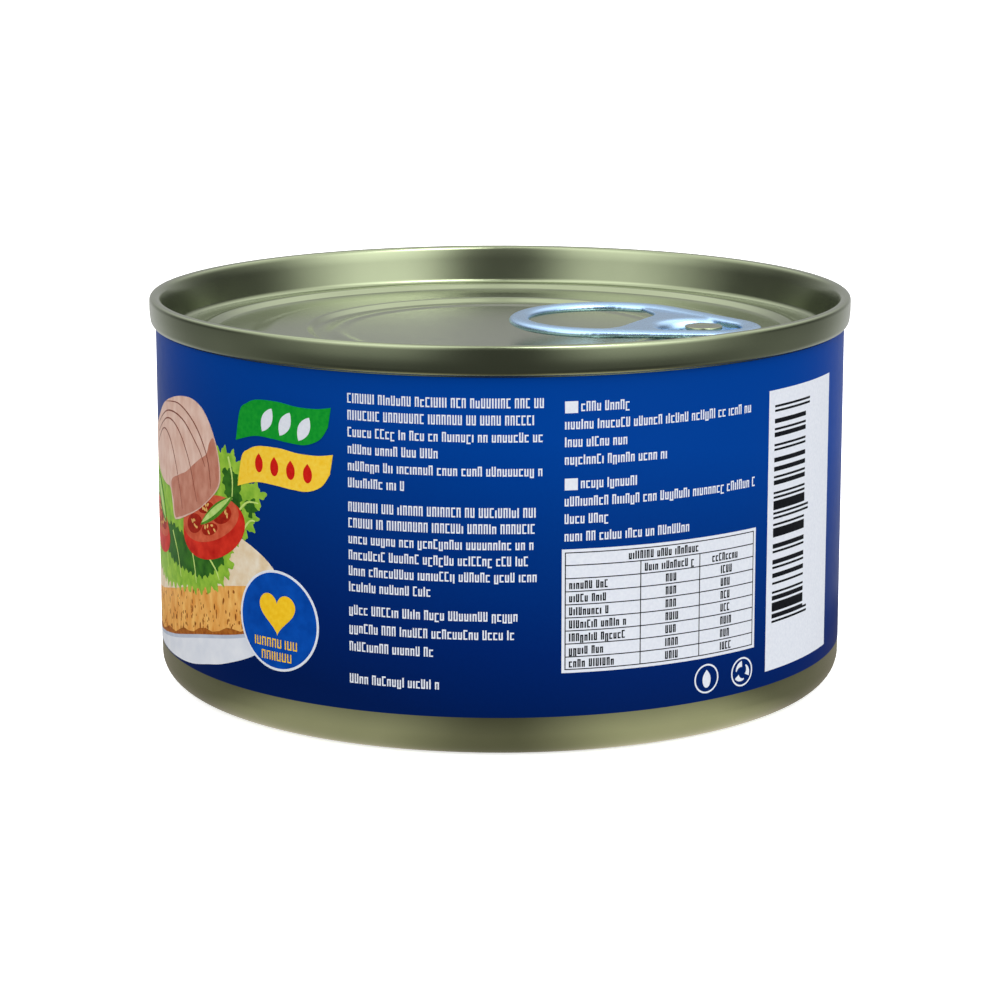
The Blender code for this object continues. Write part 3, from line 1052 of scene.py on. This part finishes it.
def plate_and_toast():
    rim = smooth_open([(-90.6, 15.4), (-90.8, 13.0), (-87.6, 9.4), (-81.0, 6.6), (-73.0, 5.4),
                       (-64.0, 5.1), (-53.0, 5.05), (-45.7, 5.4), (-40.4, 6.4), (-37.0, 7.2),
                       (-31.8, 9.1), (-27.6, 11.8), (-26.4, 14.6)])
    printed("print_plate", [rim + [(-27.5, 17.0), (-56.0, 19.0), (-86.0, 17.4)]], PLATE_INK, 1)
    foot = smooth_open([(-86.0, 12.0), (-79.0, 8.2), (-70.0, 6.4), (-62.3, 6.2), (-52.0, 7.6),
                        (-42.7, 9.6), (-33.8, 11.4), (-28.5, 13.2), (-27.2, 15.5)])
    front = smooth_open([(-86.0, 17.0), (-79.0, 13.4), (-70.0, 11.6), (-60.0, 11.8), (-51.0, 13.5),
                         (-42.5, 15.6), (-34.0, 17.2), (-29.5, 17.9), (-27.4, 18.4)])
    back = [tuple(p) for p in arc_points((-57.0, 18.4), (29.6, 7.6), 0, 180, 40)]
    shade = [(x, z - 0.45) for x, z in foot] + front[::-1]
    printed("print_plate_shade", [shade], PLATE_SHADE, 2)
    printed("print_toast_side", [foot + front[::-1]], TOAST_SIDE, 3)
    printed("print_toast_top", [front + back], TOAST_TOP, 4)
    chance = random.Random(3)
    crust = [(x + (fx - x) * 0.1, z + (fz - z) * (0.1 + 0.05 * math.sin(index * 1.7)))
             for index, ((x, z), (fx, fz)) in enumerate(zip(foot, front))]
    printed("print_toast_crust", [foot + crust[::-1]], CRUST_INK, 4)
    crumbs = []
    for _ in range(260):
        index = chance.randint(6, len(foot) - 10)
        depth = 0.12 + 0.85 * chance.random() ** 1.6
        x = foot[index][0] + (front[index][0] - foot[index][0]) * depth + chance.uniform(-1.2, 1.2)
        z = foot[index][1] + (front[index][1] - foot[index][1]) * depth
        size = chance.uniform(0.07, 0.17)
        crumbs.append(oval((x, z), (size, size * chance.uniform(1.0, 3.2)), 7, chance.uniform(-8, 8)))
    return printed("print_toast_crumbs", crumbs, CRUMB_INK, 4)


plate_and_toast()

# %% [markdown]
# Lettuce is a frill: a soft outline whose edge waves in and out several times, in a light green field
# with darker folds and paler ribs laid over it. The waves come from a sine that runs with the length of
# the edge, with a seeded wobble so that no two are alike.

# %% Frill the lettuce
LEAF_DARK = ink("lettuce_shadow_ink", "#3F7A26", "#24551D", grain=1.4)
LEAF_LIGHT = ink("lettuce_ink", "#A6CF47", "#78AE34", grain=1.2)
LEAF_PALE = ink("lettuce_rib_ink", "#D3E88B", "#B9D96A", grain=0.8)


def frilled(points, depth, wave, seed):
    """A soft closed outline with a frilled edge: depth and wavelength in mm."""
    line = smooth_loop(points, 24)
    chance = random.Random(seed)
    phase, run = 0.0, 0.0
    made = []
    for index, (x, y) in enumerate(line):
        ahead = line[(index + 1) % len(line)]
        behind = line[index - 1]
        length = math.hypot(ahead[0] - behind[0], ahead[1] - behind[1]) or 1.0
        nx, ny = (behind[1] - ahead[1]) / length, (ahead[0] - behind[0]) / length
        run += length / 2
        phase += length / 2 / wave * chance.uniform(0.7, 1.3)
        out = depth * (math.sin(math.tau * phase) + 0.4 * math.sin(math.tau * phase * 2.3 + 1.0))
        made.append((x + nx * out, y + ny * out))
    return made


def lettuce():
    outline = [(-38.4, 33.0), (-36.4, 33.2), (-34.2, 32.6), (-32.2, 30.4), (-29.9, 29.4), (-29.6, 28.2),
               (-30.8, 26.6), (-30.9, 25.0), (-32.8, 23.2), (-35.2, 21.4), (-35.4, 18.8), (-38.6, 16.0),
               (-43.0, 14.9), (-47.0, 14.4), (-53.0, 13.7), (-59.0, 14.4), (-66.0, 15.4), (-71.0, 17.6),
               (-74.0, 21.6), (-72.0, 26.0), (-66.0, 28.6), (-58.0, 30.0), (-48.0, 32.0)]
    printed("print_lettuce", [frilled(outline, 0.42, 1.7, 4)], LEAF_LIGHT, 5)
    folds = [
        [(-37.6, 18.8), (-36.9, 20.4), (-40.5, 21.6), (-46.5, 21.2), (-51.5, 21.6), (-54.6, 19.4),
         (-51.4, 17.2), (-46.8, 16.8), (-41.4, 16.9)],
        [(-36.6, 30.6), (-34.6, 30.9), (-33.4, 28.8), (-33.6, 26.2), (-35.2, 26.4), (-36.4, 28.4)],
        [(-62.0, 17.4), (-57.4, 18.8), (-58.2, 22.6), (-63.4, 23.8), (-68.0, 21.4)],
        [(-32.6, 27.3), (-31.2, 27.9), (-30.9, 26.6), (-32.0, 25.8)],
    ]
    printed("print_lettuce_folds", [frilled(fold, 0.22, 1.3, 8 + n) for n, fold in enumerate(folds)],
            LEAF_DARK, 6)
    ribs = [[(-50.6, 20.8), (-48.8, 18.4), (-47.8, 15.6)], [(-44.4, 20.2), (-43.6, 17.8), (-43.2, 15.8)],
            [(-40.4, 19.8), (-38.6, 18.4), (-37.8, 17.2)], [(-35.6, 32.4), (-34.9, 30.0), (-35.0, 27.4)],
            [(-34.4, 25.6), (-32.4, 27.4), (-30.4, 27.6)], [(-33.6, 23.4), (-32.0, 25.2), (-31.0, 25.4)],
            [(-55.6, 20.8), (-54.0, 18.6), (-53.2, 15.6)]]
    shapes = [stroke(smooth_open(rib, 8), lambda t: 0.34 - 0.2 * t) for rib in ribs]
    return printed("print_lettuce_ribs", shapes, LEAF_PALE, 7)


lettuce()

# %% [markdown]
# A cut tomato is a red rim round paler flesh, with wells of wet seeds, and it lies tilted. A second
# half sits behind it. The wells are given for one size of tomato, as place along and across, width and
# height, and scaled to each half. Slivers of cucumber are leaf shapes with a dark skin and pale middle.

# %% Cut the tomato and the cucumber
TOMATO_SKIN = ink("tomato_skin_ink", "#E23A28", "#B81D16", grain=1.6)
TOMATO_FLESH = ink("tomato_flesh_ink", "#DC6A4A", "#C2472E", grain=1.0)
TOMATO_WELL = ink("tomato_well_ink", "#B52D1A", "#8F1C10", grain=0.7)
TOMATO_SEED = ink("tomato_seed_ink", "#F2C778", "#E0A758", grain=0.4)
CUCUMBER_SKIN = ink("cucumber_skin_ink", "#5E9A2E", "#3F7A22", grain=0.8)
CUCUMBER_FLESH = ink("cucumber_flesh_ink", "#C9E58E", "#A6D160", grain=0.8)
WELLS = ((-3.1, -0.2, 1.9, 1.5), (3.0, 0.2, 1.9, 1.5), (0.1, -1.6, 1.7, 0.95), (0.1, 1.7, 1.7, 0.85))
WELLS_DRAWN_ON = (6.7, 4.1)


def tomato_and_cucumber():
    halves = (((-40.0, 23.9), (7.2, 3.2), 17.0), ((-58.4, 20.8), (6.4, 2.5), -8.0))
    skins, fleshes, wells, seeds = [], [], [], []
    chance = random.Random(17)
    for centre, (a, b), turn in halves:
        skins.append(oval(turned_point(centre, 0.1, -0.75, turn), (a, b + 0.55), 72, turn))
        face = turned_point(centre, -0.1, 0.35, turn)
        fleshes.append(oval(face, (a - 0.55, b - 0.5), 64, turn))
        for along, across, wide, high in WELLS:
            wide, high = wide * a / WELLS_DRAWN_ON[0], high * b / WELLS_DRAWN_ON[1]
            spot = turned_point(face, along * a / WELLS_DRAWN_ON[0], across * b / WELLS_DRAWN_ON[1],
                                turn)
            wells.append(oval(spot, (wide, high), 28, turn))
            for _ in range(5):
                at = turned_point(spot, chance.uniform(-1, 1) * wide * 0.6,
                                  chance.uniform(-1, 1) * high * 0.55, turn)
                seeds.append(oval(at, (0.3, 0.16), 10, chance.uniform(0, 180)))
    printed("print_tomato_skin", skins, TOMATO_SKIN, 8)
    printed("print_tomato_flesh", fleshes, TOMATO_FLESH, 9)
    printed("print_tomato_wells", wells, TOMATO_WELL, 10)
    printed("print_tomato_seeds", seeds, TOMATO_SEED, 11)
    slivers = (((-41.8, 23.2), 8.4, 1.5, 33), ((-59.4, 26.6), 8.0, 2.8, -44))
    skin = [leaf(root, length, width, turn) for root, length, width, turn in slivers]
    flesh = [leaf(turned_point(root, 0.35, 0.1, turn), length - 0.8, width * 0.55, turn)
             for root, length, width, turn in slivers]
    printed("print_cucumber_skin", skin, CUCUMBER_SKIN, 12)
    return printed("print_cucumber_flesh", flesh, CUCUMBER_FLESH, 13)


tomato_and_cucumber()

# %% [markdown]
# The block of fish is a pale pink chunk with a lit top and a darker lower face, and the thin brown
# lines between its flakes curve like the rings of an onion.

# %% Flake the fish
FISH_LIGHT = ink("fish_ink", "#EBCDBE", "#D8AE9C", grain=1.3, run=1.6)
FISH_DARK = ink("fish_shade_ink", "#D09580", "#B9745F", grain=1.1, run=1.6)
FLAKE_LINE = ink("flake_line_ink", "#8A4B3A", "#6E3527", grain=0.5)


def fish_block():
    block = [(-57.0, 33.8), (-53.5, 36.0), (-49.3, 37.4), (-46.2, 38.0), (-43.4, 38.1),
             (-41.1, 37.4), (-39.6, 36.1), (-38.5, 34.5), (-37.6, 32.5), (-37.2, 30.2),
             (-37.5, 28.5), (-39.3, 26.8), (-42.1, 25.0), (-45.4, 23.6), (-48.4, 22.6),
             (-49.8, 22.6), (-50.5, 24.5), (-51.3, 26.0), (-53.5, 26.1), (-57.0, 26.8),
             (-60.4, 28.6), (-60.6, 31.6)]
    printed("print_fish", [smooth_loop(block)], FISH_LIGHT, 12)
    shade = [(-39.4, 33.4), (-38.5, 34.1), (-37.7, 32.4), (-37.4, 30.2), (-37.7, 28.6),
             (-39.4, 26.9), (-42.2, 25.1), (-45.4, 23.8), (-48.2, 22.9), (-49.4, 22.8),
             (-50.0, 24.6), (-50.7, 26.9), (-47.7, 28.2), (-45.4, 29.0), (-43.5, 30.1),
             (-41.6, 31.2), (-40.1, 32.0)]
    printed("print_fish_shade", [smooth_loop(shade)], FISH_DARK, 13)
    flakes = [[(-57.2, 33.0), (-51.6, 35.4), (-46.2, 35.2), (-42.2, 32.6), (-40.4, 30.4)],
              [(-57.6, 31.8), (-52.0, 34.4), (-47.8, 33.8), (-44.6, 30.6), (-42.6, 25.8)],
              [(-58.2, 30.4), (-54.0, 32.8), (-50.8, 32.0), (-48.4, 28.6), (-46.8, 24.2)],
              [(-52.4, 36.4), (-47.2, 36.9), (-42.8, 35.2), (-40.0, 31.8), (-39.2, 28.0)]]
    lines = [stroke(smooth_open(line, 10), lambda t: 0.06 + 0.13 * math.sin(math.pi * t))
             for line in flakes]
    return printed("print_fish_flakes", lines, FLAKE_LINE, 14)


fish_block()

# %% [markdown]
# A round badge overlaps the plate: a brighter blue disc in a white ring, with a yellow heart over two
# short rows of marks. A heart is a closed curve with a well-known formula.

# %% Stamp the badge
BADGE = (-27.7, 14.05)
BADGE_RADIUS = 6.0
BADGE_RING = 0.3
HEART_SCALE = 0.17
HEART_RISE = 1.1
BADGE_BLUE = ink("badge_blue_ink", "#0A52B8", "#04429F", grain=1.5)
BADGE_YELLOW = ink("badge_yellow_ink", "#FFD233", "#F7C21C", grain=0.6)


def badge():
    printed("print_badge_ring", [oval(BADGE, (BADGE_RADIUS,) * 2, 96)], WHITE, 5)
    printed("print_badge_disc", [oval(BADGE, (BADGE_RADIUS - BADGE_RING,) * 2, 96)], BADGE_BLUE, 6)
    heart = []
    for step in range(60):
        t = math.tau * step / 60
        heart.append((BADGE[0] + HEART_SCALE * 16 * math.sin(t) ** 3,
                      BADGE[1] + HEART_RISE + HEART_SCALE * (
                          13 * math.cos(t) - 5 * math.cos(2 * t) - 2 * math.cos(3 * t) - math.cos(4 * t))))
    shapes = [heart]
    for level, half in ((-2.2, 3.6), (-3.75, 2.5)):
        chance = random.Random(int(half * 10))
        shapes += marks_line(BADGE[0] - half, BADGE[1] + level, BADGE[0] + half, chance, 1.05, 0.8, 1.0)
    return printed("print_badge_motif", shapes, BADGE_YELLOW, 7)


badge()

# %% [markdown]
# The table is a light table: a milky sheet with lamps under it, which gives the clean white ground of
# a catalogue picture and still takes a soft shadow where the can stands. It isn't part of the can. It
# is hidden from the can's reflections and from bounced light, so that the studio below does that work.

# %% Lay the light table
TABLE_SIZE = 8.0
TABLE_GLOW = 0.62


def light_table():
    form = bmesh.new()
    bmesh.ops.create_grid(form, x_segments=1, y_segments=1, size=TABLE_SIZE / 2)
    mesh = bpy.data.meshes.new("light_table")
    form.to_mesh(mesh)
    form.free()
    material = bpy.data.materials.new("milky_acrylic")
    tree = new_tree(material)
    place = add_node(tree, "ShaderNodeTexCoord", take="Object")
    cloud = add_node(tree, "ShaderNodeTexNoise", Vector=place, Scale=1 / (40.0 * MM), Detail=1.0)
    tint = add_node(tree, "ShaderNodeMix", {"data_type": "RGBA"}, Factor=cloud, A=colour("#FDFDFD"),
                    B=colour("#FFFFFF"))
    shader = add_node(tree, "ShaderNodeBsdfPrincipled", Base_Color=tint, Roughness=0.9,
                      Specular_IOR_Level=0.0, Emission_Color=tint, Emission_Strength=TABLE_GLOW)
    add_node(tree, "ShaderNodeOutputMaterial", Surface=shader)
    mesh.materials.append(material)
    table = bpy.data.objects.new("light_table", mesh)
    bpy.context.collection.objects.link(table)
    table.visible_glossy = False
    table.visible_diffuse = False
    print("table of", TABLE_SIZE, "m")


light_table()

# %% [markdown]
# The studio is drawn into the sky as a photographer would hang it, by the direction that light comes
# from. Turn is measured round the can from the camera's side, in degrees, and lift is the sine of the
# height above the horizon. Two tall softboxes stand to the left and right of the camera, the right one
# brighter: they make the two upright bands on the seam and the wall with a dark middle between. The
# space behind the can is mid grey, which the flat lid mirrors. The ceiling is dim in front, bright at
# the sides and less bright again at the back. A low reflector runs round the sides and the back, for
# the rails of the ring.

# %% Hang the studio
BOX_INNER = (8.0, 36.0)
BOX_OUTER = (97.0, 46.0)
BOX_LIFT = (-0.5, 0.6)
LEFT_GLOW = 1.25
RIGHT_GLOW = 1.8
FRONT_GLOW = 0.09
BACK_GLOW = 0.42
BACK_TURN = (118.0, 160.0)
CEILING_LIFT = (0.14, 0.88)
CEILING_FRONT = 0.15
CEILING_SIDE = 1.25
CEILING_BACK = 0.4
CEILING_NEAR = (10.0, 70.0)
CEILING_FAR = (148.0, 172.0)
REFLECTOR_GLOW = 0.16
REFLECTOR_LIFT = (0.12, -0.2)
REFLECTOR_TURN = (60.0, 105.0)
MIDDLE = 8.0


def softboxes(tree, ray, inner, outer):
    """How bright the two boxes are in a direction, with that direction's lift and its turn aside."""
    soft = {"interpolation_type": "SMOOTHSTEP"}
    parts = add_node(tree, "ShaderNodeSeparateXYZ", Vector=ray).node
    ahead = add_node(tree, "ShaderNodeMath", {"operation": "MULTIPLY"}, fill=(parts.outputs["Y"], -1.0))
    turn = add_node(tree, "ShaderNodeMath", {"operation": "ARCTAN2"}, fill=(parts.outputs["X"], ahead))
    turn = add_node(tree, "ShaderNodeMath", {"operation": "DEGREES"}, fill=(turn,))
    aside = add_node(tree, "ShaderNodeMath", {"operation": "ABSOLUTE"}, fill=(turn,))
    rise = add_node(tree, "ShaderNodeMapRange", soft, Value=aside, From_Min=inner[0], From_Max=inner[1])
    fall = add_node(tree, "ShaderNodeMapRange", soft, Value=aside, From_Min=outer[0], From_Max=outer[1])
    band = add_node(tree, "ShaderNodeMath", {"operation": "MULTIPLY"}, fill=(rise, fall))
    power = add_node(tree, "ShaderNodeMapRange", soft, Value=turn, From_Min=-MIDDLE, From_Max=MIDDLE,
                     To_Min=LEFT_GLOW, To_Max=RIGHT_GLOW)
    boxes = add_node(tree, "ShaderNodeMath", {"operation": "MULTIPLY"}, fill=(band, power))
    return boxes, parts.outputs["Z"], aside


def studio_sky():
    world = bpy.data.worlds.new("studio_sky")
    tree = new_tree(world)
    soft = {"interpolation_type": "SMOOTHSTEP"}
    ray = add_node(tree, "ShaderNodeTexCoord", take="Generated")
    boxes, up, aside = softboxes(tree, ray, BOX_INNER, BOX_OUTER)
    spans = {
        "back": (aside, BACK_TURN, (FRONT_GLOW, BACK_GLOW)),
        "box_lift": (up, BOX_LIFT, (0.0, 1.0)),
        "roof": (up, CEILING_LIFT, (0.0, 1.0)),
        "near": (aside, CEILING_NEAR, (CEILING_FRONT, CEILING_SIDE)),
        "far": (aside, CEILING_FAR, (1.0, CEILING_BACK / CEILING_SIDE)),
        "below": (up, REFLECTOR_LIFT, (0.0, 1.0)),
        "flank": (aside, REFLECTOR_TURN, (0.0, REFLECTOR_GLOW)),
    }
    fades = {}
    for name, (value, limits, ends) in spans.items():
        fades[name] = add_node(tree, "ShaderNodeMapRange", soft, Value=value, From_Min=limits[0],
                               From_Max=limits[1], To_Min=ends[0], To_Max=ends[1])
    ceiling = add_node(tree, "ShaderNodeMath", {"operation": "MULTIPLY"},
                       fill=(fades["near"], fades["far"]))
    glow = fades["back"]
    for first, second in ((fades["roof"], ceiling), (fades["below"], fades["flank"]),
                          (boxes, fades["box_lift"])):
        glow = add_node(tree, "ShaderNodeMath", {"operation": "MULTIPLY_ADD"},
                        fill=(first, second, glow))
    sky = add_node(tree, "ShaderNodeBackground", Color=colour("#FFFFFF"), Strength=glow)
    add_node(tree, "ShaderNodeOutputWorld", Surface=sky)
    bpy.context.scene.world = world
    print("studio sky of", len(tree.nodes), "nodes")


studio_sky()
bpy.context.scene.view_settings.view_transform = "Standard"

# %% [markdown]
# The can stands on a small round card that only its metal sees. The wall near the foot mirrors the
# card, and the seam high above it looks past the card's edge, so the foot is brighter than the seam.
# The card glows as a lamp does. Two brighter patches are painted into its glow where the two softboxes
# would light it: painted light.

# %% Slip a card under the can
CARD_RADIUS = 66.0
CARD_FADE = (51.0, 64.0)
CARD_GLOW = 0.28
CARD_PATCH = 0.34
CARD_EDGE = 0.3
CARD_BANDS = ((2.0, 24.0), (62.0, 40.0))


def round_card():
    form = bmesh.new()
    bmesh.ops.create_circle(form, cap_ends=True, segments=96, radius=CARD_RADIUS * MM)
    mesh = bpy.data.meshes.new("round_card")
    form.to_mesh(mesh)
    form.free()
    material = bpy.data.materials.new("glowing_card")
    tree = new_tree(material)
    place = add_node(tree, "ShaderNodeTexCoord", take="Object")
    boxes = softboxes(tree, place, *CARD_BANDS)[0]
    # Painted light: the softboxes' two patches are painted into the card's glow.
    patches = add_node(tree, "ShaderNodeMath", {"operation": "MULTIPLY_ADD"},
                       fill=(boxes, CARD_PATCH, CARD_GLOW))
    reach = add_node(tree, "ShaderNodeVectorMath", {"operation": "LENGTH"}, take="Value", fill=(place,))
    fade = add_node(tree, "ShaderNodeMapRange", Value=reach, From_Min=CARD_FADE[0] * MM,
                    From_Max=CARD_FADE[1] * MM, To_Min=1.0, To_Max=CARD_EDGE)
    strength = add_node(tree, "ShaderNodeMath", {"operation": "MULTIPLY"}, fill=(patches, fade))
    glow = add_node(tree, "ShaderNodeEmission", Color=colour("#FFF3DF"), Strength=strength)
    add_node(tree, "ShaderNodeOutputMaterial", Surface=glow)
    mesh.materials.append(material)
    card = bpy.data.objects.new("round_card", mesh)
    card.location.z = 0.1 * MM
    bpy.context.collection.objects.link(card)
    card.visible_camera = False
    card.visible_diffuse = False
    card.visible_shadow = False
    print("card of", CARD_RADIUS, "mm")


round_card()

# %% [markdown]
# Three lamps help the sky. A small one above and in front of the can gives the pull ring and the seam a
# soft shadow. Two wide ones lift the matt print and mirror in nothing: a lamp can be hidden from glossy
# rays, which is what a photographer does with a polarising filter.

# %% Hang the lamps
LAMP_AIM = Vector((0.0, 0.0, 0.03))


def lamp(name, place, size, power, mirrored):
    """Hang a square lamp that faces the can, seen or not seen in what is glossy."""
    data = bpy.data.lights.new(name, "AREA")
    data.shape = "SQUARE"
    data.size = size
    data.energy = power
    hung = bpy.data.objects.new(name, data)
    hung.location = place
    aim = LAMP_AIM - Vector(place)
    hung.rotation_euler = aim.to_track_quat("-Z", "Y").to_euler()
    hung.visible_glossy = mirrored
    bpy.context.collection.objects.link(hung)
    print(name, power, "W")


lamp("lamp_over", (0.25, -0.35, 0.9), 0.35, 2.0, True)
lamp("lamp_fill_left", (-1.2, -1.0, 0.6), 1.0, 7.5, False)
lamp("lamp_fill_right", (1.2, -1.0, 0.6), 1.0, 7.5, False)
